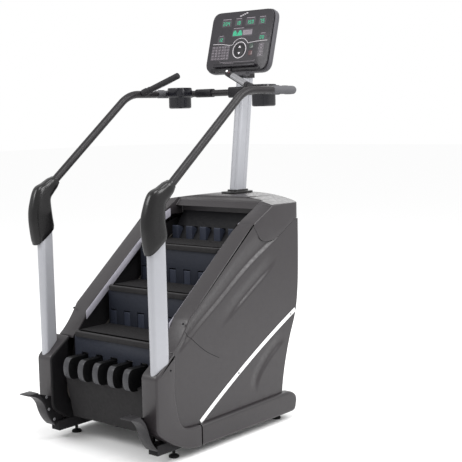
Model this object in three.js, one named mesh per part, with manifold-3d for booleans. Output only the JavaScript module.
// Stair climber: a gym machine with an escalator of moving steps between two handrails.
// Millimetres. +X is the climber's right, +Y the way the climber faces, +Z up, floor at Z = 0.

import * as THREE from 'three';
import { mergeVertices } from 'three/addons/utils/BufferGeometryUtils.js';
import Module from 'manifold-3d';

const wasm = await Module();
wasm.setup();

// ---------------------------------------------------------------- driving dimensions

const GAP = 0.4; // clearance between two pieces that rest on each other

// Steps. Step 0 is the lowest one; a nose is the front edge of a tread.
const STEP_RISE = 203.2;
const STEP_GOING = 248;
const STEP_HALF_WIDTH = 292;
const FIRST_NOSE_Y = -438;
const FIRST_NOSE_Z = 557;
const TREAD_COUNT = 3;
const TREAD_THICKNESS = 26;
const TREAD_CORNER_CUT = 26;
const TREAD_TO_RISER = 3;
const RISER_SETBACK = 15;
const RISER_THICKNESS = 10;
const RISER_END_CLEARANCE = 4;
const HIDDEN_RISER_LEAN = 35;
const FIN_COUNT = 6;
const FIN_END_MARGIN = 11.5;
const FIN_WIDTH = 46;
const FIN_HEIGHT = 72;
const FIN_DEPTH = 45;
const FIN_SIDE_GAP = 2;
const TURNED_PANEL_HEIGHT = 244;
const TURNED_PANEL_TILT = 11;
const TURNED_PANEL_THICKNESS = 26;
const TURNED_PANEL_OFFSET = 78;
const TURNED_FIN_REACH = 138;
const TURNED_FIN_COUNT = 5;
const TURNED_FIN_PITCH = 107;
const TURNED_FIN_HEIGHT = 94;

// Drive
const SPROCKET_PITCH_RADIUS = 110;
const SPROCKET_X = STEP_HALF_WIDTH + 18;
const SPROCKET_WIDTH = 8;
const CHAIN_HEIGHT = 16;
const CHAIN_WIDTH = 10;
const SHAFT_RADIUS = 15;
const BEARING_GAP = 0.3;
const HINGE_DROP = 8;
const HINGE_PIN_RADIUS = 6;
const DRIVE_PULLEY_RADIUS = 100;
const ROTOR_PULLEY_RADIUS = 25;
const BELT_X = STEP_HALF_WIDTH + 70;
const BELT_WIDTH = 18;
const BELT_THICKNESS = 5;
const ALTERNATOR_Y = 395;
const ALTERNATOR_Z = 400;
const ALTERNATOR_RADIUS = 75;
const ALTERNATOR_LENGTH = 120;
const ROTOR_SHAFT_RADIUS = 10;

// Base frame
const RAIL_X = STEP_HALF_WIDTH + 60;
const RAIL_WIDTH = 60;
const RAIL_BOTTOM = 45;
const RAIL_HEIGHT = 50;
const RAIL_FRONT_Y = -520;
const RAIL_REAR_Y = 500;
const CROSS_BEAM_FRONT_Y = -40;
const CROSS_BEAM_WIDTH = 40;
const CROSS_BEAM_HEIGHT = 40;
const TUBE_WALL = 3;
const FOOT_FRONT_Y = -379;
const FOOT_REAR_Y = 430;
const FOOT_RADIUS = 26;
const FOOT_STEM_RADIUS = 8;
const SIDE_FRAME_X = STEP_HALF_WIDTH + 44;
const SIDE_FRAME_THICKNESS = 6;

// Covers
const HALF_WIDTH = STEP_HALF_WIDTH + 136;
const PANEL_OUTER_X = STEP_HALF_WIDTH + 112;
const PANEL_THICKNESS = 12;
const BAND_INNER_X = STEP_HALF_WIDTH + 8;
const BAND_THICKNESS = 12;
const GUARD_THICKNESS = 4;
const GUARD_DEPTH = 44;
const COVER_WALL = 5;
const COVER_INNER_X = STEP_HALF_WIDTH + 31;
const RAIL_COVER_INNER_X = STEP_HALF_WIDTH + 94;
const COVER_SEAM_Y = -250;
const RAIL_COVER_TOP_Z = 142;
const CAP_HALF_WIDTH = STEP_HALF_WIDTH + 114;
const CAP_SEAM_Y = 230;
const CAP_CROWN_Z = 1208;
const CAP_SIDE_Z = 1168;
const CAP_CORNER_Y = 590;
const CAP_REAR_Y = 668;
const CAP_FLOOR_Z = 1082;
const LIP_FRONT_Y = 378;
const LIP_BOTTOM_Z = 1140;
const LIP_TOP_Y = 409;
const LIP_TOP_Z = 1172;
const STRIPE_WIDTH = 25;
const STRIPE_THICKNESS = 2;

// Posts and handrails
const POST_X = STEP_HALF_WIDTH + 104;
const POST_Y = -503;
const POST_LENGTH = 98;
const POST_WIDTH = 46;
const POST_TURN = 12;
const POST_BOTTOM_Z = 178;
const POST_TOP_Z = 1205;
const EXTRUSION_WALL = 4;
const RAIL_TUBE_X = STEP_HALF_WIDTH + 121;
const RAIL_TUBE_RADIUS = 20.5;
const RAIL_TOP_Z = 1767;
const RAIL_BEND_Y = 145;
const RAIL_BEND_RUN = 75;
const RAIL_START_Y = -478;
const RAIL_SLOPE = 38.4;
const RAIL_END_Y = 368;
const FRONT_BAR_RADIUS = 22;
const FRONT_BAR_Y = 577;
const FRONT_BAR_CORNER = 60;
const ELBOW_HALF_WIDTH = 38;
const ELBOW_X = STEP_HALF_WIDTH + 109;
const GRIP_RADIUS = 17;
const GRIP_BASE = new THREE.Vector3(RAIL_TUBE_X - 25, 240, RAIL_TOP_Z + 7);
const GRIP_TIP = new THREE.Vector3(RAIL_TUBE_X - 241, 294, RAIL_TOP_Z + 97);
const SWITCH_RADIUS = 6;
const SWITCH_LENGTH = 8;
const SWITCH_POCKET = 7;
const SWITCH_SPACING = 20;
const CUP_X = STEP_HALF_WIDTH + 10;
const CUP_Y = 438;
const CUP_SIZE = 108;
const CUP_BOTTOM_Z = RAIL_TOP_Z - 83;
const CUP_TOP_Z = RAIL_TOP_Z + 33;
const CUP_WALL = 4;
const CUP_RIM_HEIGHT = 52;
const CUP_RIM_PROUD = 5;

// Mast and console
const MAST_Y = 568;
const MAST_BASE_Z = 1213;
const MAST_LEAN = 7.5;
const MAST_WIDTH = 54;
const MAST_DEPTH = 94;
const MAST_BOTTOM_Z = 1108;
const MAST_TOP_Z = 1846;
const CONSOLE_WIDTH = 452;
const CONSOLE_HEIGHT = 358;
const CONSOLE_DEPTH = 46;
const CONSOLE_FACE_THICKNESS = 8;
const CONSOLE_CORNER = 62;
const CONSOLE_TILT = 15.7;
const CONSOLE_CENTRE_Y = 618;
const CONSOLE_CENTRE_Z = 2049;
const LEDGE_DEPTH = 34;
const LEDGE_HEIGHT = 16;
const DIAL_RADIUS = 34;
const DIAL_U = 11;
const DIAL_V = -54;
const KEY_SIZE = 28;
const KEY_U = 92;
const KEY_SPACING = 40;
const KEY_THICKNESS = 3;
const KEY_POCKET = 4;
const KEY_TRAVEL = 1.8;

// Front hook brackets
const BRACKET_INNER_X = STEP_HALF_WIDTH + 38;
const BRACKET_OUTER_X = STEP_HALF_WIDTH + 108;
const BRACKET_PLATE = 5;
const BRACKET_TIP_Y = -706.4;

// ---------------------------------------------------------------- materials

function finish(color, roughness, metalness = 0) {
  return new THREE.MeshStandardMaterial({ color, roughness, metalness });
}

const charcoalPlastic = finish(0x565457, 0.55);
const glossBlackPlastic = finish(0x1c1b1e, 0.2);
const darkRubber = finish(0x343336, 0.8);
const greyGrip = finish(0x77777a, 0.75);
const silverPaint = finish(0xc4c5c8, 0.35, 0.4);
const lilacSilver = finish(0xa9a8b4, 0.4, 0.5);
const treadRubber = finish(0x4a4846, 0.85);
const riserPlastic = finish(0x3f434d, 0.6);
const whiteTrim = finish(0xf2f2f2, 0.4);
const blackSteel = finish(0x222224, 0.5, 0.5);
const bareSteel = finish(0x8c8c90, 0.4, 0.9);
const consolePlastic = finish(0x4b4a4d, 0.45);
const palePlastic = finish(0xb9babd, 0.5);
const redKey = finish(0xb03038, 0.4);
const greenKey = finish(0x3d8f62, 0.4);

// ---------------------------------------------------------------- small tools

const rad = THREE.MathUtils.degToRad;
const EXTRUDE = { bevelEnabled: false, curveSegments: 3 };

// Outline through corners [u, v, r]; a corner with r is rounded by a curve that starts r before it.
// A rounding takes at most half of the shorter edge beside it.
function outline(corners) {
  const shape = new THREE.Shape();
  const point = (i) => new THREE.Vector2(...corners[(i + corners.length) % corners.length].slice(0, 2));
  corners.forEach(([u, v, r = 0], i) => {
    const here = point(i);
    const before = point(i - 1);
    const after = point(i + 1);
    const reach = Math.min(r, here.distanceTo(before) / 2, here.distanceTo(after) / 2);
    const start = here.clone().lerp(before, reach / here.distanceTo(before));
    const end = here.clone().lerp(after, reach / here.distanceTo(after));
    if (i === 0) shape.moveTo(start.x, start.y);
    else if (start.distanceTo(shape.currentPoint) > 1e-4) shape.lineTo(start.x, start.y);
    if (reach > 0) shape.quadraticCurveTo(u, v, end.x, end.y);
  });
  return shape;
}

function rectangle(u0, u1, v0, v1, r = 0) {
  return outline([[u0, v0, r], [u1, v0, r], [u1, v1, r], [u0, v1, r]]);
}

// The same corners moved outwards by a distance (inwards when it is negative).
function grown(corners, distance) {
  const points = corners.map(([u, v]) => new THREE.Vector2(u, v));
  const sign = THREE.ShapeUtils.isClockWise(points) ? -1 : 1;
  return corners.map(([, , r = 0], i) => {
    const point = points[i];
    const into = point.clone().sub(points.at(i - 1)).normalize();
    const out = points[(i + 1) % points.length].clone().sub(point).normalize();
    const normal = new THREE.Vector2(into.y + out.y, -into.x - out.x).normalize();
    const stretch = normal.dot(new THREE.Vector2(into.y, -into.x));
    return [...point.clone().addScaledVector(normal, (sign * distance) / stretch).toArray(), r];
  });
}

// An outline in Y-Z, run along X from x0 to x1.
function alongX(shape, x0, x1, curveSegments = EXTRUDE.curveSegments) {
  const geometry = new THREE.ExtrudeGeometry(shape, { ...EXTRUDE, curveSegments, depth: x1 - x0 });
  return geometry.applyMatrix4(new THREE.Matrix4().set(0, 0, 1, x0, 1, 0, 0, 0, 0, 1, 0, 0, 0, 0, 0, 1));
}

// An outline in X-Z, run along Y from y0 to y1.
function alongY(shape, y0, y1) {
  const geometry = new THREE.ExtrudeGeometry(shape, { ...EXTRUDE, depth: y1 - y0 });
  return geometry.applyMatrix4(new THREE.Matrix4().set(1, 0, 0, 0, 0, 0, -1, y1, 0, 1, 0, 0, 0, 0, 0, 1));
}

// An outline in X-Y, run along Z from z0 to z1.
function alongZ(shape, z0, z1) {
  return new THREE.ExtrudeGeometry(shape, { ...EXTRUDE, depth: z1 - z0 }).translate(0, 0, z0);
}

function block(x0, x1, y0, y1, z0, z1) {
  const box = new THREE.BoxGeometry(x1 - x0, y1 - y0, z1 - z0);
  return box.translate((x0 + x1) / 2, (y0 + y1) / 2, (z0 + z1) / 2);
}

// A turned piece on the X axis; profile holds [radius, x] from the first x to the last.
function turnedAlongX(profile, y, z, segments = 20) {
  const points = profile.map(([r, x]) => new THREE.Vector2(r, x));
  return new THREE.LatheGeometry(points, segments).rotateZ(-Math.PI / 2).translate(0, y, z);
}

function turnedAlongZ(profile, x, y, segments = 12) {
  const points = profile.map(([r, z]) => new THREE.Vector2(r, z));
  return new THREE.LatheGeometry(points, segments).rotateX(Math.PI / 2).translate(x, y, 0);
}

// A cylinder from one point to another.
function rod(from, to, radius, segments = 12) {
  const direction = to.clone().sub(from);
  const geometry = new THREE.CylinderGeometry(radius, radius, direction.length(), segments);
  const upright = new THREE.Vector3(0, 1, 0);
  const turn = new THREE.Quaternion().setFromUnitVectors(upright, direction.clone().normalize());
  return geometry.applyQuaternion(turn).translate(...from.clone().add(to).multiplyScalar(0.5).toArray());
}

function tube(path, radius, steps, sides = 16) {
  const section = new THREE.Shape();
  section.absarc(0, 0, radius, 0, 2 * Math.PI, false);
  return new THREE.ExtrudeGeometry(section, { steps, curveSegments: sides, extrudePath: path });
}

function solid(geometry) {
  const bare = geometry.clone();
  bare.deleteAttribute('normal');
  bare.deleteAttribute('uv');
  const merged = mergeVertices(bare, 1e-3);
  return new wasm.Manifold(
    new wasm.Mesh({
      numProp: 3,
      vertProperties: new Float32Array(merged.attributes.position.array),
      triVerts: new Uint32Array(merged.index.array),
    }),
  );
}

function geometryOf(manifold) {
  const mesh = manifold.getMesh();
  const geometry = new THREE.BufferGeometry();
  geometry.setAttribute('position', new THREE.BufferAttribute(mesh.vertProperties, 3));
  geometry.setIndex(new THREE.BufferAttribute(mesh.triVerts, 1));
  geometry.computeVertexNormals();
  return geometry;
}

function joined(...geometries) {
  return geometryOf(geometries.map(solid).reduce((a, b) => a.add(b)));
}

function cut(geometry, ...tools) {
  return geometryOf(tools.map(solid).reduce((a, b) => a.subtract(b), solid(geometry)));
}

function common(...geometries) {
  return geometryOf(geometries.map(solid).reduce((a, b) => a.intersect(b)));
}

function mirrored(geometry) {
  const copy = mergeVertices(geometry.clone().deleteAttribute('normal')).scale(-1, 1, 1);
  const index = copy.index.array;
  for (let i = 0; i < index.length; i += 3) {
    [index[i], index[i + 1]] = [index[i + 1], index[i]];
  }
  copy.computeVertexNormals();
  return copy;
}

// ---------------------------------------------------------------- assembly

const machine = new THREE.Group();

function addPart(name, geometry, material) {
  const mesh = new THREE.Mesh(geometry, material);
  mesh.name = name;
  machine.add(mesh);
}

// A piece on the climber's right and its mirror image on the left.
function addPair(name, geometry, material) {
  const plain = geometry.clone();
  plain.deleteAttribute('uv');
  addPart(`${name}_right`, plain, material);
  addPart(`${name}_left`, mirrored(plain), material);
}

// ---------------------------------------------------------------- side profile of the machine

const incline = Math.atan2(STEP_RISE, STEP_GOING);
const noseY = (k) => FIRST_NOSE_Y + k * STEP_GOING;
const noseZ = (k) => FIRST_NOSE_Z + k * STEP_RISE;
const hingeY = (k) => noseY(k) + RISER_SETBACK + RISER_THICKNESS / 2;
const hingeZ = (k) => noseZ(k - 1) - HINGE_DROP;

// Upper edge of the sides, level with the noses of the steps: foot, straight flight, shoulder.
const onFlight = (y) => noseZ(0) + (y - noseY(0)) * Math.tan(incline) + 4;
const flightStart = { y: -300, z: onFlight(-300) };
const flightEnd = { y: 130, z: onFlight(130) };
const sideFoot = { y: -425, z: 529 };
const sideShoulder = { y: CAP_SEAM_Y, z: 1096 };

function topEdge(drop = 0) {
  const path = new THREE.Path();
  const low = drop * 0.6;
  path.moveTo(sideFoot.y, sideFoot.z - drop);
  path.quadraticCurveTo(
    sideFoot.y + 62 + low, sideFoot.z + 44 - drop,
    flightStart.y + low, flightStart.z - drop + low / 2,
  );
  path.lineTo(flightEnd.y, flightEnd.z - drop);
  path.quadraticCurveTo(flightEnd.y + 48, flightEnd.z + 37 - drop, sideShoulder.y, sideShoulder.z - drop);
  return path.getPoints(5);
}

// Rear edge of the sides from the cap down, as [y, z].
const REAR_EDGE = [
  [CAP_CORNER_Y, 1080], [588, 900], [580, 714], [556, 575],
  [502, 446], [466, 340], [440, 240], [424, 150],
];

function rearEdgeY(z) {
  const i = Math.max(REAR_EDGE.findIndex(([, edgeZ]) => edgeZ <= z), 1);
  const [ya, za] = REAR_EDGE[i - 1];
  const [yb, zb] = REAR_EDGE[i];
  return ya + ((z - za) / (zb - za)) * (yb - ya);
}

// Front cover: the pillar under a post, sweeping down into the base.
const frontCover = [
  [-560, 168, 30], [-560, 437, 22], [-425, 531, 14], [-436, 330, 60], [-398, 150, 90],
  [COVER_SEAM_Y, RAIL_COVER_TOP_Z], [COVER_SEAM_Y, 33], [-337, 41, 60], [-441, 83, 60], [-508, 129, 20],
];
const railCover = [
  [COVER_SEAM_Y + GAP, 33], [COVER_SEAM_Y + GAP, RAIL_COVER_TOP_Z],
  [470, 156, 60], [532, 120, 50], [512, 36, 30],
];

// Rear cap seen from the side: a rounded lobe hangs down over each side panel.
const capLobe = [
  [CAP_SEAM_Y - 29, 1076], [232, 1035, 20], [262, 992, 40], [330, 980, 40], [400, 992, 50],
  [560, CAP_FLOOR_Z], [CAP_REAR_Y, CAP_FLOOR_Z], [CAP_REAR_Y, CAP_CROWN_Z + 8],
  [440, CAP_CROWN_Z + 6, 60], [345, 1156, 50], [CAP_SEAM_Y, 1096],
];

// ---------------------------------------------------------------- frame

function boxTube(x0, x1, y0, y1, z0, z1, open) {
  const t = TUBE_WALL;
  const past = 1;
  const hollow =
    open === 'y'
      ? block(x0 + t, x1 - t, y0 - past, y1 + past, z0 + t, z1 - t)
      : block(x0 - t - past, x1 + t + past, y0 + t, y1 - t, z0 + t, z1 - t);
  return { shell: block(x0, x1, y0, y1, z0, z1), hollow };
}

function baseFrame() {
  const tubes = [-1, 1].map((side) =>
    boxTube(
      side * RAIL_X - RAIL_WIDTH / 2, side * RAIL_X + RAIL_WIDTH / 2, RAIL_FRONT_Y, RAIL_REAR_Y,
      RAIL_BOTTOM, RAIL_BOTTOM + RAIL_HEIGHT, 'y',
    ),
  );
  const innerX = RAIL_X - RAIL_WIDTH / 2;
  for (const y of [CROSS_BEAM_FRONT_Y, RAIL_REAR_Y - CROSS_BEAM_WIDTH]) {
    const top = RAIL_BOTTOM + CROSS_BEAM_HEIGHT;
    tubes.push(boxTube(-innerX, innerX, y, y + CROSS_BEAM_WIDTH, RAIL_BOTTOM, top, 'x'));
  }
  const screwHoles = [];
  for (const side of [-1, 1]) {
    for (const y of [FOOT_FRONT_Y, FOOT_REAR_Y]) {
      const from = new THREE.Vector3(side * RAIL_X, y, RAIL_BOTTOM - 1);
      screwHoles.push(rod(from, from.clone().setZ(RAIL_BOTTOM + TUBE_WALL + 1), FOOT_STEM_RADIUS + GAP));
    }
  }
  const shells = joined(...tubes.map((t) => t.shell));
  return cut(shells, ...tubes.map((t) => t.hollow), ...screwHoles);
}

function levellingFoot(x, y) {
  const stemTop = RAIL_BOTTOM + 30;
  const profile = [
    [0, 0], [FOOT_RADIUS, 0], [FOOT_RADIUS, 9], [FOOT_RADIUS - 8, 14],
    [FOOT_STEM_RADIUS, 16], [FOOT_STEM_RADIUS, stemTop], [0, stemTop],
  ];
  return turnedAlongZ(profile, x, y);
}

const drive = {
  y: hingeY(3) + SPROCKET_PITCH_RADIUS * Math.sin(incline),
  z: hingeZ(3) - SPROCKET_PITCH_RADIUS * Math.cos(incline),
};
const idler = {
  y: hingeY(0) + SPROCKET_PITCH_RADIUS * Math.sin(incline),
  z: hingeZ(0) - SPROCKET_PITCH_RADIUS * Math.cos(incline),
};

const alternator = { y: ALTERNATOR_Y, z: ALTERNATOR_Z };

// Steel plate on each side that carries both shafts.
function sideFrame() {
  const foot = RAIL_BOTTOM + RAIL_HEIGHT + GAP;
  const under = 40;
  const plate = outline([
    [-400, foot, 10], [-400, 420, 40], [noseY(0) + 100, onFlight(noseY(0) + 100) - under, 30],
    [LIP_FRONT_Y, 1070, 60], [540, 1070, 20], [540, 720, 80], [462, 470, 40], [418, 300], [395, foot, 20],
  ]);
  const window = outline([[-180, 170, 40], [-180, 470, 60], [190, 790, 60], [250, 560, 80], [240, 170, 40]]);
  const x0 = SIDE_FRAME_X;
  const x1 = SIDE_FRAME_X + SIDE_FRAME_THICKNESS;
  const bore = ({ y, z }, shaftRadius) => {
    const from = new THREE.Vector3(x0 - 1, y, z);
    return rod(from, from.clone().setX(x1 + 1), shaftRadius + BEARING_GAP, 16);
  };
  return cut(
    alongX(plate, x0, x1), alongX(window, x0 - 1, x1 + 1),
    bore(drive, SHAFT_RADIUS), bore(idler, SHAFT_RADIUS), bore(alternator, ROTOR_SHAFT_RADIUS),
  );
}

// Cross beam between the side plates with the mast's foot plate.
function topFrame() {
  const half = SIDE_FRAME_X - GAP;
  const centre = mastCentreY(MAST_BOTTOM_Z);
  const beam = block(-half, half, centre - 25, centre + 25, 1040, MAST_BOTTOM_Z - 10);
  const hollow = block(-half - 1, half + 1, centre - 21, centre + 21, 1044, MAST_BOTTOM_Z - 14);
  const reach = MAST_DEPTH / 2;
  const plate = block(-50, 50, centre - reach, centre + reach, MAST_BOTTOM_Z - 11, MAST_BOTTOM_Z - GAP);
  return joined(cut(beam, hollow), plate);
}

function hookBracket() {
  const lip = BRACKET_PLATE;
  const top = 268;
  const nearCover = -560 - GAP;
  const skin = new THREE.Shape();
  skin.moveTo(BRACKET_TIP_Y, top);
  skin.lineTo(BRACKET_TIP_Y, top - lip);
  skin.quadraticCurveTo(-628, 250, -604, 190);
  skin.quadraticCurveTo(-588, 120, -540, 76);
  skin.lineTo(-534, 80);
  skin.quadraticCurveTo(-582, 126, -597, 196);
  skin.quadraticCurveTo(-612, 240, -640, top - lip - 2);
  skin.lineTo(-640, top);
  skin.closePath();
  const side = new THREE.Shape();
  side.moveTo(-650, top - 2);
  side.quadraticCurveTo(-614, 240, -600, 194);
  side.quadraticCurveTo(-585, 124, -538, 79);
  side.lineTo(RAIL_FRONT_Y - GAP - 1, 84);
  side.lineTo(RAIL_FRONT_Y - GAP - 1, 120);
  side.lineTo(nearCover - 2, 160);
  side.lineTo(nearCover - 2, 240);
  side.closePath();
  return joined(
    alongX(skin, BRACKET_INNER_X, BRACKET_OUTER_X),
    alongX(side, BRACKET_INNER_X, BRACKET_INNER_X + BRACKET_PLATE),
  );
}

// ---------------------------------------------------------------- steps

// Middles of the fins along a tread.
function finRow(count, pitch) {
  return Array.from({ length: count }, (_, i) => (i - (count - 1) / 2) * pitch);
}

const finPitch = (2 * (STEP_HALF_WIDTH - FIN_END_MARGIN) - FIN_WIDTH) / (FIN_COUNT - 1);
const treadFins = finRow(FIN_COUNT, finPitch);
const turnedFins = finRow(TURNED_FIN_COUNT, TURNED_FIN_PITCH);

function tread(k) {
  const front = noseY(k);
  const back = noseY(k + 1) + RISER_SETBACK - TREAD_TO_RISER;
  const top = noseZ(k);
  const w = STEP_HALF_WIDTH;
  const c = TREAD_CORNER_CUT;
  const plan = outline([
    [-w, front + c, 6], [-w + c, front, 6], [w - c, front, 6],
    [w, front + c, 6], [w, back], [-w, back],
  ]);
  const board = alongZ(plan, top - TREAD_THICKNESS, top);
  const finFront = back + TREAD_TO_RISER;
  const fin = outline([
    [finFront - 12, top - TREAD_THICKNESS], [finFront - 12, top - 4],
    [finFront, top - 4], [finFront, top + FIN_HEIGHT, 8],
    [finFront + FIN_DEPTH, top + FIN_HEIGHT - 16, 20], [finFront + FIN_DEPTH, top - TREAD_THICKNESS],
  ]);
  const fins = treadFins.map((x) => alongX(fin, x - FIN_WIDTH / 2, x + FIN_WIDTH / 2));
  return joined(board, ...fins);
}

// A riser hangs between two treads; the fins of the lower tread pass through its comb.
function riser(k) {
  const w = STEP_HALF_WIDTH - RISER_END_CLEARANCE;
  const front = noseY(k) + RISER_SETBACK;
  const bottom = hingeZ(k) - HINGE_PIN_RADIUS;
  const top = noseZ(k) - TREAD_THICKNESS - GAP;
  const finHeight = k === 0 ? TURNED_FIN_HEIGHT : FIN_HEIGHT;
  const slotTop = noseZ(k - 1) + finHeight + 5;
  const slotHalf = FIN_WIDTH / 2 + FIN_SIDE_GAP;
  const slots = (k === 0 ? turnedFins : treadFins).map((x) =>
    block(x - slotHalf, x + slotHalf, front - 1, front + RISER_THICKNESS + 1, bottom - 1, slotTop),
  );
  const plate = cut(block(-w, w, front, front + RISER_THICKNESS, bottom, top), ...slots);
  const pins = [-1, 1].map((side) =>
    rod(
      new THREE.Vector3(side * (w - 4), hingeY(k), hingeZ(k)),
      new THREE.Vector3(side * (SPROCKET_X - CHAIN_WIDTH / 2 - 1), hingeY(k), hingeZ(k)),
      HINGE_PIN_RADIUS,
    ),
  );
  return joined(plate, ...pins);
}

// The top riser has begun to lean back over the upper sprocket.
function hiddenRiser(k) {
  return riser(k)
    .translate(0, -hingeY(k), -hingeZ(k))
    .rotateX(-rad(HIDDEN_RISER_LEAN))
    .translate(0, hingeY(k), hingeZ(k));
}

// The lowest tread has turned down over the lower sprocket, so its fins point forwards.
function turnedTread() {
  const hinge = { y: hingeY(0), z: hingeZ(0) };
  const tilt = rad(TURNED_PANEL_TILT);
  const down = new THREE.Vector2(Math.sin(tilt), -Math.cos(tilt));
  const inward = new THREE.Vector2(Math.cos(tilt), Math.sin(tilt));
  const place = (along, deep, r = 0) => {
    const corner = new THREE.Vector2(hinge.y - TURNED_PANEL_OFFSET, hinge.z + 2);
    corner.addScaledVector(down, along).addScaledVector(inward, deep);
    return [corner.x, corner.y, r];
  };
  const t = TURNED_PANEL_THICKNESS;
  const section = outline([
    place(0, 0), place(TURNED_PANEL_HEIGHT, 0, 16),
    place(TURNED_PANEL_HEIGHT + 4, t, 8), place(0, t),
  ]);
  const w = STEP_HALF_WIDTH;
  const panel = alongX(section, -w, w);
  const reach = hinge.y - TURNED_FIN_REACH;
  const finTop = noseZ(-1) + TURNED_FIN_HEIGHT;
  const fin = outline([
    [hinge.y + 14, finTop - 4], [hinge.y - 100, finTop, 16], [reach - 6, finTop - 58, 50],
    [reach + 22, hinge.z - 10, 20], [hinge.y - 60, hinge.z - 14], [hinge.y + 14, hinge.z - 8],
  ]);
  const fins = turnedFins.map((x) => alongX(fin, x - FIN_WIDTH / 2, x + FIN_WIDTH / 2));
  return joined(panel, ...fins);
}

// ---------------------------------------------------------------- drive

function sprocketShaft(at, rightEnd) {
  const s = SHAFT_RADIUS;
  const r = SPROCKET_PITCH_RADIUS - CHAIN_HEIGHT / 2 - 1;
  const x0 = SPROCKET_X - SPROCKET_WIDTH / 2;
  const x1 = SPROCKET_X + SPROCKET_WIDTH / 2;
  const leftEnd = -(SIDE_FRAME_X + SIDE_FRAME_THICKNESS + 8);
  const profile = [
    [0, leftEnd], [s, leftEnd], [s, -x1], [r, -x1], [r, -x0], [s, -x0],
    [s, x0], [r, x0], [r, x1], [s, x1], [s, rightEnd], [0, rightEnd],
  ];
  return turnedAlongX(profile, at.y, at.z);
}

function driveShaft() {
  const b0 = BELT_X - BELT_WIDTH / 2 - 2;
  const b1 = BELT_X + BELT_WIDTH / 2 + 2;
  const disc = [[0, b0], [DRIVE_PULLEY_RADIUS, b0], [DRIVE_PULLEY_RADIUS, b1], [0, b1]];
  const pulley = turnedAlongX(disc, drive.y, drive.z);
  return joined(sprocketShaft(drive, b0 + 4), pulley);
}

// A closed band round two circles in the Y-Z plane, as a chain or belt runs.
function loop(a, ra, b, rb, thickness, x0, x1) {
  const distance = Math.hypot(b.y - a.y, b.z - a.z);
  const heading = Math.atan2(b.z - a.z, b.y - a.y);
  const spread = Math.acos((ra - rb) / distance);
  const ring = (extra, ShapeType) => {
    const path = new ShapeType();
    path.absarc(a.y, a.z, ra + extra, heading + spread, heading - spread + 2 * Math.PI, false);
    path.absarc(b.y, b.z, rb + extra, heading - spread, heading + spread, false);
    path.closePath();
    return path;
  };
  const band = ring(thickness, THREE.Shape);
  band.holes.push(ring(0, THREE.Path));
  return alongX(band, x0, x1, 10);
}

function stepChain() {
  const inner = SPROCKET_PITCH_RADIUS - CHAIN_HEIGHT / 2;
  const half = CHAIN_WIDTH / 2;
  return loop(idler, inner, drive, inner, CHAIN_HEIGHT, SPROCKET_X - half, SPROCKET_X + half);
}

function driveBelt() {
  const half = BELT_WIDTH / 2;
  return loop(
    alternator, ROTOR_PULLEY_RADIUS + GAP, drive, DRIVE_PULLEY_RADIUS + GAP, BELT_THICKNESS,
    BELT_X - half, BELT_X + half,
  );
}

// Rotor of the braking alternator: a drum with a shaft through the side plate and a small pulley.
function alternatorRotor() {
  const face = SIDE_FRAME_X - 14;
  const b0 = BELT_X - BELT_WIDTH / 2 - 2;
  const b1 = BELT_X + BELT_WIDTH / 2 + 2;
  const profile = [
    [0, face - ALTERNATOR_LENGTH], [ALTERNATOR_RADIUS, face - ALTERNATOR_LENGTH], [ALTERNATOR_RADIUS, face],
    [ROTOR_SHAFT_RADIUS, face], [ROTOR_SHAFT_RADIUS, b0],
    [ROTOR_PULLEY_RADIUS, b0], [ROTOR_PULLEY_RADIUS, b1], [0, b1],
  ];
  return turnedAlongX(profile, alternator.y, alternator.z);
}

// ---------------------------------------------------------------- covers

function sidePanel() {
  const top = topEdge(BAND_THICKNESS + GAP);
  const shape = new THREE.Shape(top.map((p) => new THREE.Vector2(p.x, p.y)));
  shape.lineTo(330, 1060);
  shape.lineTo(CAP_CORNER_Y - 6, 1094);
  for (const [y, z] of REAR_EDGE) shape.lineTo(y - 6, z);
  shape.lineTo(-430, 120);
  shape.closePath();
  const blank = alongX(shape, PANEL_OUTER_X - PANEL_THICKNESS, PANEL_OUTER_X);
  const past = [PANEL_OUTER_X - PANEL_THICKNESS - 1, PANEL_OUTER_X + 1];
  const neighbours = [frontCover, railCover, capLobe];
  return cut(blank, ...neighbours.map((cover) => alongX(outline(grown(cover, GAP)), ...past)));
}

function sideBand() {
  const outer = topEdge(0);
  const inner = topEdge(BAND_THICKNESS).reverse();
  const strip = new THREE.Shape([...outer, ...inner].map((p) => new THREE.Vector2(p.x, p.y)));
  const blank = alongX(strip, BAND_INNER_X, CAP_HALF_WIDTH);
  const past = [BAND_INNER_X - 1, CAP_HALF_WIDTH + 1];
  const neighbours = [frontCover, capLobe].map((cover) => alongX(outline(grown(cover, GAP)), ...past));
  return cut(blank, ...neighbours, postBlank(GAP, 1));
}

// Bright strip that closes the gap between the step ends and the inclined band.
function guardStrip() {
  const front = { y: -330, z: onFlight(-330) - 6 };
  const bend = { y: CAP_SEAM_Y - 30, z: onFlight(CAP_SEAM_Y - 30) - 8 };
  const rear = { y: LIP_FRONT_Y - 50, z: LIP_BOTTOM_Z - 12 };
  const shape = outline([
    [front.y, front.z - GUARD_DEPTH, 4], [front.y, front.z, 4], [bend.y, bend.z],
    [rear.y, rear.z, 4], [rear.y, rear.z - GUARD_DEPTH, 4], [bend.y, bend.z - GUARD_DEPTH],
  ]);
  return alongX(shape, BAND_INNER_X - GUARD_THICKNESS - GAP, BAND_INNER_X - GAP);
}

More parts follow.
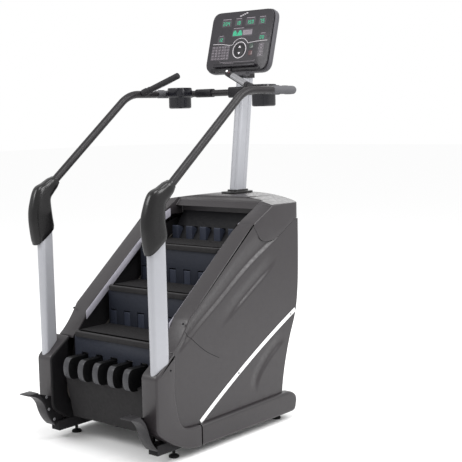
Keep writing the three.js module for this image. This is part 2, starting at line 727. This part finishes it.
// Hollow cover with openings for the base rail, the side plate, the foot and the post.
function frontPillarCover() {
  const inner = COVER_INNER_X + COVER_WALL;
  const outer = HALF_WIDTH - COVER_WALL;
  const past = COVER_INNER_X - 1;
  const behind = COVER_SEAM_Y + 10;
  const body = alongX(outline(frontCover), COVER_INNER_X, HALF_WIDTH);
  const inside = alongX(outline(grown(frontCover, -COVER_WALL)), inner, outer);
  const rearMouth = block(past, outer, COVER_SEAM_Y - 50, behind, 30, RAIL_COVER_TOP_Z - 6);
  const railTop = RAIL_BOTTOM + RAIL_HEIGHT + GAP;
  const railWay = block(past, RAIL_X + RAIL_WIDTH / 2 + GAP, -500, behind, 30, railTop);
  const plateWay = block(past, SIDE_FRAME_X + SIDE_FRAME_THICKNESS + 1, -408, behind, 30, 215);
  const floor = new THREE.Vector3(RAIL_X, FOOT_FRONT_Y, 0);
  const footWay = rod(floor, floor.clone().setZ(RAIL_BOTTOM), FOOT_RADIUS + 10);
  return cut(body, inside, rearMouth, railWay, plateWay, footWay, postBlank(GAP, 1));
}

function railSideCover() {
  const body = alongX(outline(railCover), RAIL_COVER_INNER_X, HALF_WIDTH);
  const hollow = outline(grown(railCover, -COVER_WALL));
  return cut(body, alongX(hollow, RAIL_COVER_INNER_X - 1, HALF_WIDTH - COVER_WALL));
}

// Bowed trim strip across the side panel.
function stripe() {
  const bow = new THREE.QuadraticBezierCurve(
    new THREE.Vector2(-222, 162), new THREE.Vector2(150, 402), new THREE.Vector2(545, 588),
  );
  const steps = 8;
  const side = (sign) =>
    bow.getPoints(steps).map((point, i) => {
      const along = bow.getTangent(i / steps);
      const across = new THREE.Vector2(-along.y, along.x);
      return point.addScaledVector(across, (sign * STRIPE_WIDTH) / 2);
    });
  const shape = new THREE.Shape([...side(1), ...side(-1).reverse()]);
  return alongX(shape, PANEL_OUTER_X + GAP, PANEL_OUTER_X + GAP + STRIPE_THICKNESS);
}

// Plan outline of the crowned cap: straight sides and a bowed rear.
function capPlan(inset) {
  const w = CAP_HALF_WIDTH - inset;
  const shape = new THREE.Shape();
  shape.moveTo(-w, 100);
  shape.lineTo(w, 100);
  shape.lineTo(w, CAP_CORNER_Y - inset - 30);
  shape.quadraticCurveTo(w, CAP_CORNER_Y - inset, w - 40, CAP_CORNER_Y + 14 - inset);
  shape.quadraticCurveTo(0, 2 * CAP_REAR_Y - CAP_CORNER_Y - 14 - inset, -w + 40, CAP_CORNER_Y + 14 - inset);
  shape.quadraticCurveTo(-w, CAP_CORNER_Y - inset, -w, CAP_CORNER_Y - inset - 30);
  shape.closePath();
  return shape;
}

// Outline of the cap from the front: level sides under a gently domed top.
function capCrown(inset) {
  const w = CAP_HALF_WIDTH - inset;
  const shape = new THREE.Shape();
  shape.moveTo(-w, 900);
  shape.lineTo(w, 900);
  shape.lineTo(w, CAP_SIDE_Z - inset);
  shape.quadraticCurveTo(0, 2 * CAP_CROWN_Z - CAP_SIDE_Z - inset, -w, CAP_SIDE_Z - inset);
  shape.closePath();
  return shape;
}

// The whole cap as a solid, shrunk on all sides by inset.
function capBody(inset) {
  const w = CAP_HALF_WIDTH - inset;
  return common(
    alongX(outline(grown(capLobe, -inset)), -w, w),
    alongZ(capPlan(inset), 900, 1300),
    alongY(capCrown(inset), 0, 800),
  );
}

// Cap over the upper end: hollow, with the well that the steps disappear into.
function topCap() {
  const w = BAND_INNER_X;
  const hollow = common(
    capBody(COVER_WALL),
    joined(
      block(-w - COVER_WALL, w + COVER_WALL, LIP_TOP_Y + 20, 800, 900, 1300),
      block(-500, -w - COVER_WALL, 0, 800, 900, 1300), block(w + COVER_WALL, 500, 0, 800, 900, 1300),
    ),
  );
  const openBelow = common(
    alongX(
      outline([
        [150, 900], [150, 1066], [300, 1066],
        [300, CAP_FLOOR_Z + 10], [800, CAP_FLOOR_Z + 10], [800, 900],
      ]),
      -w - 90, w + 90,
    ),
    alongZ(capPlan(COVER_WALL), 900, CAP_FLOOR_Z + 20),
  );
  const well = alongX(
    outline([
      [100, 900], [430, 900], [430, LIP_BOTTOM_Z], [LIP_FRONT_Y, LIP_BOTTOM_Z],
      [LIP_TOP_Y, LIP_TOP_Z], [LIP_TOP_Y + 40, 1300], [100, 1300],
    ]),
    -w, w,
  );
  return cut(capBody(0), hollow, openBelow, well, mastBlank(GAP));
}

// Bowed sheet across the back, between the side panels and under the cap.
function rearCover() {
  const half = PANEL_OUTER_X - PANEL_THICKNESS - GAP;
  const bottom = 165;
  const top = CAP_FLOOR_Z - GAP;
  const columns = 6;
  const rows = 8;
  const positions = [];
  const index = [];
  const bow = (x) => (CAP_REAR_Y - CAP_CORNER_Y - 12) * (1 - (x / half) ** 2);
  const id = (layer, i, j) => layer * (columns + 1) * (rows + 1) + j * (columns + 1) + i;
  for (const layer of [0, 1]) {
    for (let j = 0; j <= rows; j += 1) {
      const z = bottom + ((top - bottom) * j) / rows;
      for (let i = 0; i <= columns; i += 1) {
        const x = -half + (2 * half * i) / columns;
        positions.push(x, rearEdgeY(z) - 6 + bow(x) - layer * COVER_WALL, z);
      }
    }
  }
  const quad = (a, b, c, d) => index.push(a, b, c, a, c, d);
  for (let j = 0; j < rows; j += 1) {
    for (let i = 0; i < columns; i += 1) {
      quad(id(0, i, j), id(0, i, j + 1), id(0, i + 1, j + 1), id(0, i + 1, j));
      quad(id(1, i, j), id(1, i + 1, j), id(1, i + 1, j + 1), id(1, i, j + 1));
    }
    quad(id(0, 0, j), id(1, 0, j), id(1, 0, j + 1), id(0, 0, j + 1));
    quad(id(0, columns, j), id(0, columns, j + 1), id(1, columns, j + 1), id(1, columns, j));
  }
  for (let i = 0; i < columns; i += 1) {
    quad(id(0, i, 0), id(0, i + 1, 0), id(1, i + 1, 0), id(1, i, 0));
    quad(id(0, i, rows), id(1, i, rows), id(1, i + 1, rows), id(0, i + 1, rows));
  }
  const geometry = new THREE.BufferGeometry();
  geometry.setAttribute('position', new THREE.Float32BufferAttribute(positions, 3));
  geometry.setIndex(index);
  geometry.computeVertexNormals();
  return geometry;
}

// ---------------------------------------------------------------- posts and handrails

function stadium(length, width) {
  const r = width / 2;
  const straight = length / 2 - r;
  const shape = new THREE.Shape();
  shape.absarc(0, straight, r, 0, Math.PI, false);
  shape.absarc(0, -straight, r, Math.PI, 2 * Math.PI, false);
  shape.closePath();
  return shape;
}

// Outer shape of a post, grown all round by extra; past lengthens it at both ends.
function postBlank(extra, past = 0) {
  const section = stadium(POST_LENGTH + 2 * extra, POST_WIDTH + 2 * extra);
  return alongZ(section, POST_BOTTOM_Z - past, POST_TOP_Z + past)
    .rotateZ(-rad(POST_TURN))
    .translate(POST_X, POST_Y, 0);
}

function post() {
  return cut(postBlank(0), postBlank(-EXTRUSION_WALL, 1));
}

const railDirection = new THREE.Vector3(0, Math.cos(rad(RAIL_SLOPE)), Math.sin(rad(RAIL_SLOPE)));
const railBend = new THREE.Vector3(RAIL_TUBE_X, RAIL_BEND_Y, RAIL_TOP_Z);

// Point on the sloping run of the handrail at a given y.
function onHandrail(y) {
  return railBend.clone().addScaledVector(railDirection, (y - RAIL_BEND_Y) / railDirection.y);
}

const railStart = onHandrail(RAIL_START_Y);

function handrailPath(past = 0) {
  const path = new THREE.CurvePath();
  const start = railStart.clone().addScaledVector(railDirection, -past);
  const bendIn = railBend.clone().addScaledVector(railDirection, -RAIL_BEND_RUN);
  const bendOut = railBend.clone().add(new THREE.Vector3(0, RAIL_BEND_RUN, 0));
  path.add(new THREE.LineCurve3(start, bendIn));
  path.add(new THREE.QuadraticBezierCurve3(bendIn, railBend, bendOut));
  path.add(new THREE.LineCurve3(bendOut, new THREE.Vector3(RAIL_TUBE_X, RAIL_END_Y + past, RAIL_TOP_Z)));
  return path;
}

function handrail() {
  const outside = tube(handrailPath(), RAIL_TUBE_RADIUS, 16, 6);
  const bore = tube(handrailPath(1), RAIL_TUBE_RADIUS - TUBE_WALL, 16, 6);
  return cut(outside, bore);
}

// Moulded cover over the joint of post and handrail.
function elbowCover() {
  const normal = new THREE.Vector3(0, -railDirection.z, railDirection.y);
  const along = (distance, side) => {
    const point = onHandrail(POST_Y).addScaledVector(railDirection, distance);
    point.addScaledVector(normal, side);
    return [point.y, point.z];
  };
  const end = 128;
  const shape = outline([
    [-570, 1000, 14], [-597, 1150, 60], [...along(-20, 66), 60], [...along(end, 30), 10],
    [...along(end, -30), 10], [...along(34, -50), 30], [-444, 1090, 12],
  ]);
  const body = alongX(shape, ELBOW_X - ELBOW_HALF_WIDTH, ELBOW_X + ELBOW_HALF_WIDTH);
  const before = railStart.clone().addScaledVector(railDirection, -30);
  const beyond = railStart.clone().addScaledVector(railDirection, 400);
  const tubeWay = rod(before, beyond, RAIL_TUBE_RADIUS + 1.2);
  return cut(body, postBlank(0.6, 1), tubeWay);
}

// Front bar: both front grips and the cross tube between them, with a saddle against the mast.
function frontBar() {
  const z = RAIL_TOP_Z;
  const path = new THREE.CurvePath();
  const x = RAIL_TUBE_X;
  const c = FRONT_BAR_CORNER;
  const y = FRONT_BAR_Y;
  const p = (px, py) => new THREE.Vector3(px, py, z);
  path.add(new THREE.LineCurve3(p(x, RAIL_END_Y + GAP), p(x, y - c)));
  path.add(new THREE.QuadraticBezierCurve3(p(x, y - c), p(x, y), p(x - c, y)));
  path.add(new THREE.LineCurve3(p(x - c, y), p(-x + c, y)));
  path.add(new THREE.QuadraticBezierCurve3(p(-x + c, y), p(-x, y), p(-x, y - c)));
  path.add(new THREE.LineCurve3(p(-x, y - c), p(-x, RAIL_END_Y + GAP)));
  const saddle = block(-34, 34, y - 12, mastCentreY(z) - MAST_DEPTH / 2 + 10, z - 30, z + 30);
  return cut(joined(tube(path, FRONT_BAR_RADIUS, 34, 6), saddle), mastBlank(GAP));
}

const gripAxis = GRIP_TIP.clone().sub(GRIP_BASE).normalize();
const switchAxis = new THREE.Vector3(0, -1, 1).projectOnPlane(gripAxis).normalize();

// Point on the skin of the right grip where switch i sits, counted from the tip.
function switchSeat(i) {
  const onAxis = GRIP_TIP.clone().addScaledVector(gripAxis, -14 - i * SWITCH_SPACING);
  return onAxis.addScaledVector(switchAxis, GRIP_RADIUS);
}

function stubGrip(withSwitches) {
  const body = rod(GRIP_BASE, GRIP_TIP, GRIP_RADIUS, 12);
  const collar = rod(GRIP_BASE, GRIP_BASE.clone().addScaledVector(gripAxis, 34), GRIP_RADIUS + 5, 12);
  const behind = new THREE.Vector3(RAIL_TUBE_X, GRIP_BASE.y - 140, RAIL_TOP_Z);
  const ahead = new THREE.Vector3(RAIL_TUBE_X, GRIP_BASE.y + 120, RAIL_TOP_Z);
  const railWay = rod(behind, ahead, RAIL_TUBE_RADIUS + 1, 16);
  const pockets = [0, 1].map((i) => {
    const mouth = switchSeat(i).addScaledVector(switchAxis, 4);
    return rod(mouth, mouth.clone().addScaledVector(switchAxis, -4 - SWITCH_POCKET), SWITCH_RADIUS + GAP, 12);
  });
  return cut(joined(body, collar), railWay, ...(withSwitches ? pockets : []));
}

function thumbSwitch(i) {
  const seat = switchSeat(i);
  const bottom = seat.clone().addScaledVector(switchAxis, -SWITCH_POCKET + 2);
  return rod(bottom, bottom.clone().addScaledVector(switchAxis, SWITCH_LENGTH), SWITCH_RADIUS, 12);
}

// Square cup with a proud rim band, on an arm from the front bar.
function cupHolder() {
  const half = CUP_SIZE / 2;
  const section = (extra) => {
    const reach = half + extra;
    return rectangle(CUP_X - reach, CUP_X + reach, CUP_Y - reach, CUP_Y + reach, 22 + Math.min(extra, 0));
  };
  const cup = alongZ(section(0), CUP_BOTTOM_Z, CUP_TOP_Z - 1);
  const rimBand = alongZ(section(CUP_RIM_PROUD), CUP_TOP_Z - CUP_RIM_HEIGHT, CUP_TOP_Z);
  const hollow = alongZ(section(-CUP_WALL), CUP_BOTTOM_Z + CUP_WALL, CUP_TOP_Z + 1);
  const armX = CUP_X + half + CUP_RIM_PROUD - 6;
  const arm = block(armX, RAIL_TUBE_X, CUP_Y - 20, CUP_Y + 20, RAIL_TOP_Z - 12, RAIL_TOP_Z + 12);
  const behind = new THREE.Vector3(RAIL_TUBE_X, RAIL_END_Y - 40, RAIL_TOP_Z);
  const barWay = rod(behind, behind.clone().setY(FRONT_BAR_Y - 20), FRONT_BAR_RADIUS + 1, 16);
  return cut(joined(cup, rimBand, arm), hollow, barWay);
}

// ---------------------------------------------------------------- mast and console

function mastCentreY(z) {
  return MAST_Y + (z - MAST_BASE_Z) * Math.tan(rad(MAST_LEAN));
}

// Extruded upright, sheared so that its cut ends stay level.
function mastBlank(extra, past = 0) {
  const w = MAST_WIDTH / 2 + extra;
  const d = MAST_DEPTH / 2 + extra;
  const section = rectangle(-w, w, -d, d, 16);
  const lean = new THREE.Matrix4().makeShear(0, 0, 0, 0, 0, Math.tan(rad(MAST_LEAN)));
  return alongZ(section, MAST_BOTTOM_Z - MAST_BASE_Z - past, MAST_TOP_Z - MAST_BASE_Z + past)
    .applyMatrix4(lean)
    .translate(0, MAST_Y, MAST_BASE_Z);
}

function mastCollar() {
  const base = CAP_CROWN_Z - 4;
  const plate = alongZ(rectangle(-52, 52, MAST_Y - 98, MAST_Y + 86, 30), base, base + 14);
  const neck = alongZ(rectangle(-36, 36, MAST_Y - 58, MAST_Y + 60, 20), base, base + 24);
  return cut(joined(plate, neck), capBody(-GAP), mastBlank(GAP));
}

// Console space: u to the right, v up the face, w out of the face towards the climber.
const consolePlace = new THREE.Matrix4()
  .makeTranslation(0, CONSOLE_CENTRE_Y, CONSOLE_CENTRE_Z)
  .multiply(new THREE.Matrix4().makeRotationX(Math.PI / 2 - rad(CONSOLE_TILT)));

function onConsole(geometry) {
  return geometry.applyMatrix4(consolePlace);
}

function consoleOutline(inset) {
  const w = CONSOLE_WIDTH / 2 - inset;
  const h = CONSOLE_HEIGHT / 2 - inset;
  return rectangle(-w, w, -h, h, CONSOLE_CORNER);
}

const KEYS = {
  level_rocker: { u: DIAL_U, v: DIAL_V, size: 2 * DIAL_RADIUS, round: DIAL_RADIUS, material: palePlastic },
  start_key: { u: KEY_U, v: DIAL_V + KEY_SPACING / 2, size: KEY_SIZE, round: 6, material: greenKey },
  stop_key: { u: KEY_U, v: DIAL_V - KEY_SPACING / 2, size: KEY_SIZE, round: 6, material: redKey },
};

function keyOutline(key, extra) {
  const half = key.size / 2 + extra;
  return rectangle(key.u - half, key.u + half, key.v - half, key.v + half, key.round);
}

function consoleFace() {
  const plate = alongZ(consoleOutline(6), 0, CONSOLE_FACE_THICKNESS);
  const ledgeV = -CONSOLE_HEIGHT / 2 + 26;
  const ledge = alongZ(
    rectangle(-150, 150, ledgeV, ledgeV + LEDGE_HEIGHT, 5), 2, CONSOLE_FACE_THICKNESS + LEDGE_DEPTH,
  );
  const pockets = Object.values(KEYS).map((key) => {
    return alongZ(keyOutline(key, 0.5), CONSOLE_FACE_THICKNESS - KEY_POCKET, CONSOLE_FACE_THICKNESS + 5);
  });
  return onConsole(cut(joined(plate, ledge), ...pockets));
}

function consoleKey(key) {
  const bottom = CONSOLE_FACE_THICKNESS - KEY_POCKET + KEY_TRAVEL;
  return onConsole(alongZ(keyOutline(key, 0), bottom, bottom + KEY_THICKNESS));
}

// Back shell: a tray behind the face, open to the front.
function consoleBack() {
  const tray = joined(
    alongZ(consoleOutline(0), -CONSOLE_DEPTH + 14, -GAP),
    alongZ(consoleOutline(16), -CONSOLE_DEPTH, -CONSOLE_DEPTH + 15),
  );
  const hollow = alongZ(consoleOutline(5), -CONSOLE_DEPTH + 14 + 4, 1);
  const edge = -CONSOLE_HEIGHT / 2;
  const chin = alongZ(rectangle(-70, 70, edge - 12, edge + 40, 14), -CONSOLE_DEPTH, -CONSOLE_FACE_THICKNESS);
  return onConsole(cut(joined(tray, chin), hollow));
}

// Bracket from the top of the mast to the back shell.
function consoleBracket() {
  const gapBehind = -CONSOLE_DEPTH - GAP;
  const plate = onConsole(alongZ(rectangle(-70, 70, -120, 60, 10), gapBehind - 8, gapBehind));
  const mastY = mastCentreY(MAST_TOP_Z);
  const cap = alongZ(rectangle(-36, 36, mastY - 52, mastY + 52, 14), MAST_TOP_Z + GAP, MAST_TOP_Z + 30);
  const web = alongX(
    outline([
      [mastY - 40, MAST_TOP_Z + 4], [mastY + 50, MAST_TOP_Z + 4],
      [CONSOLE_CENTRE_Y + 84, CONSOLE_CENTRE_Z + 20], [CONSOLE_CENTRE_Y + 56, CONSOLE_CENTRE_Z + 20],
    ]),
    -26, 26,
  );
  const past = CONSOLE_HEIGHT;
  const shellWay = onConsole(alongZ(rectangle(-past, past, -past, past), gapBehind, past));
  return joined(plate, cut(joined(cap, web), shellWay));
}

// ---------------------------------------------------------------- the machine

addPart('base_frame', baseFrame(), blackSteel);
addPair('foot_front', levellingFoot(RAIL_X, FOOT_FRONT_Y), darkRubber);
addPair('foot_rear', levellingFoot(RAIL_X, FOOT_REAR_Y), darkRubber);
addPair('side_frame', sideFrame(), blackSteel);
addPart('top_frame', topFrame(), blackSteel);
addPair('hook_bracket', hookBracket(), blackSteel);

for (let k = 0; k < TREAD_COUNT; k += 1) {
  addPart(`tread_${k + 1}`, tread(k), treadRubber);
  addPart(`riser_${k + 1}`, riser(k), riserPlastic);
}
addPart(`riser_${TREAD_COUNT + 1}`, hiddenRiser(TREAD_COUNT), riserPlastic);
addPart('turned_tread', turnedTread(), treadRubber);

addPart('drive_shaft', driveShaft(), bareSteel);
addPart('idler_shaft', sprocketShaft(idler, SIDE_FRAME_X + SIDE_FRAME_THICKNESS + 8), bareSteel);
addPair('step_chain', stepChain(), blackSteel);
addPart('drive_belt', driveBelt(), darkRubber);
addPart('alternator_rotor', alternatorRotor(), bareSteel);

addPair('side_panel', sidePanel(), charcoalPlastic);
addPair('side_band', sideBand(), charcoalPlastic);
addPair('guard_strip', guardStrip(), lilacSilver);
addPair('front_cover', frontPillarCover(), charcoalPlastic);
addPair('rail_cover', railSideCover(), charcoalPlastic);
addPair('stripe', stripe(), whiteTrim);
addPart('top_cap', topCap(), charcoalPlastic);
addPart('rear_cover', rearCover(), charcoalPlastic);

addPair('post', post(), silverPaint);
addPair('elbow_cover', elbowCover(), glossBlackPlastic);
addPair('handrail', handrail(), darkRubber);
addPart('front_bar', frontBar(), greyGrip);
addPart('stub_grip_right', stubGrip(true), darkRubber);
addPart('stub_grip_left', mirrored(stubGrip(false)), darkRubber);
addPart('switch_red', thumbSwitch(1), redKey);
addPart('switch_green', thumbSwitch(0), greenKey);
addPair('cup_holder', cupHolder(), glossBlackPlastic);

addPart('mast', cut(mastBlank(0), mastBlank(-EXTRUSION_WALL, 1)), silverPaint);
addPart('mast_collar', mastCollar(), glossBlackPlastic);
addPart('console_bracket', consoleBracket(), blackSteel);
addPart('console_back', consoleBack(), palePlastic);
addPart('console_face', consoleFace(), consolePlastic);
for (const [name, key] of Object.entries(KEYS)) addPart(name, consoleKey(key), key.material);

// Centre the footprint on the origin, with the feet on the floor.
machine.updateMatrixWorld(true);
const box = new THREE.Box3().setFromObject(machine);
machine.position.set(-(box.min.x + box.max.x) / 2, -(box.min.y + box.max.y) / 2, -box.min.z);

export default machine;
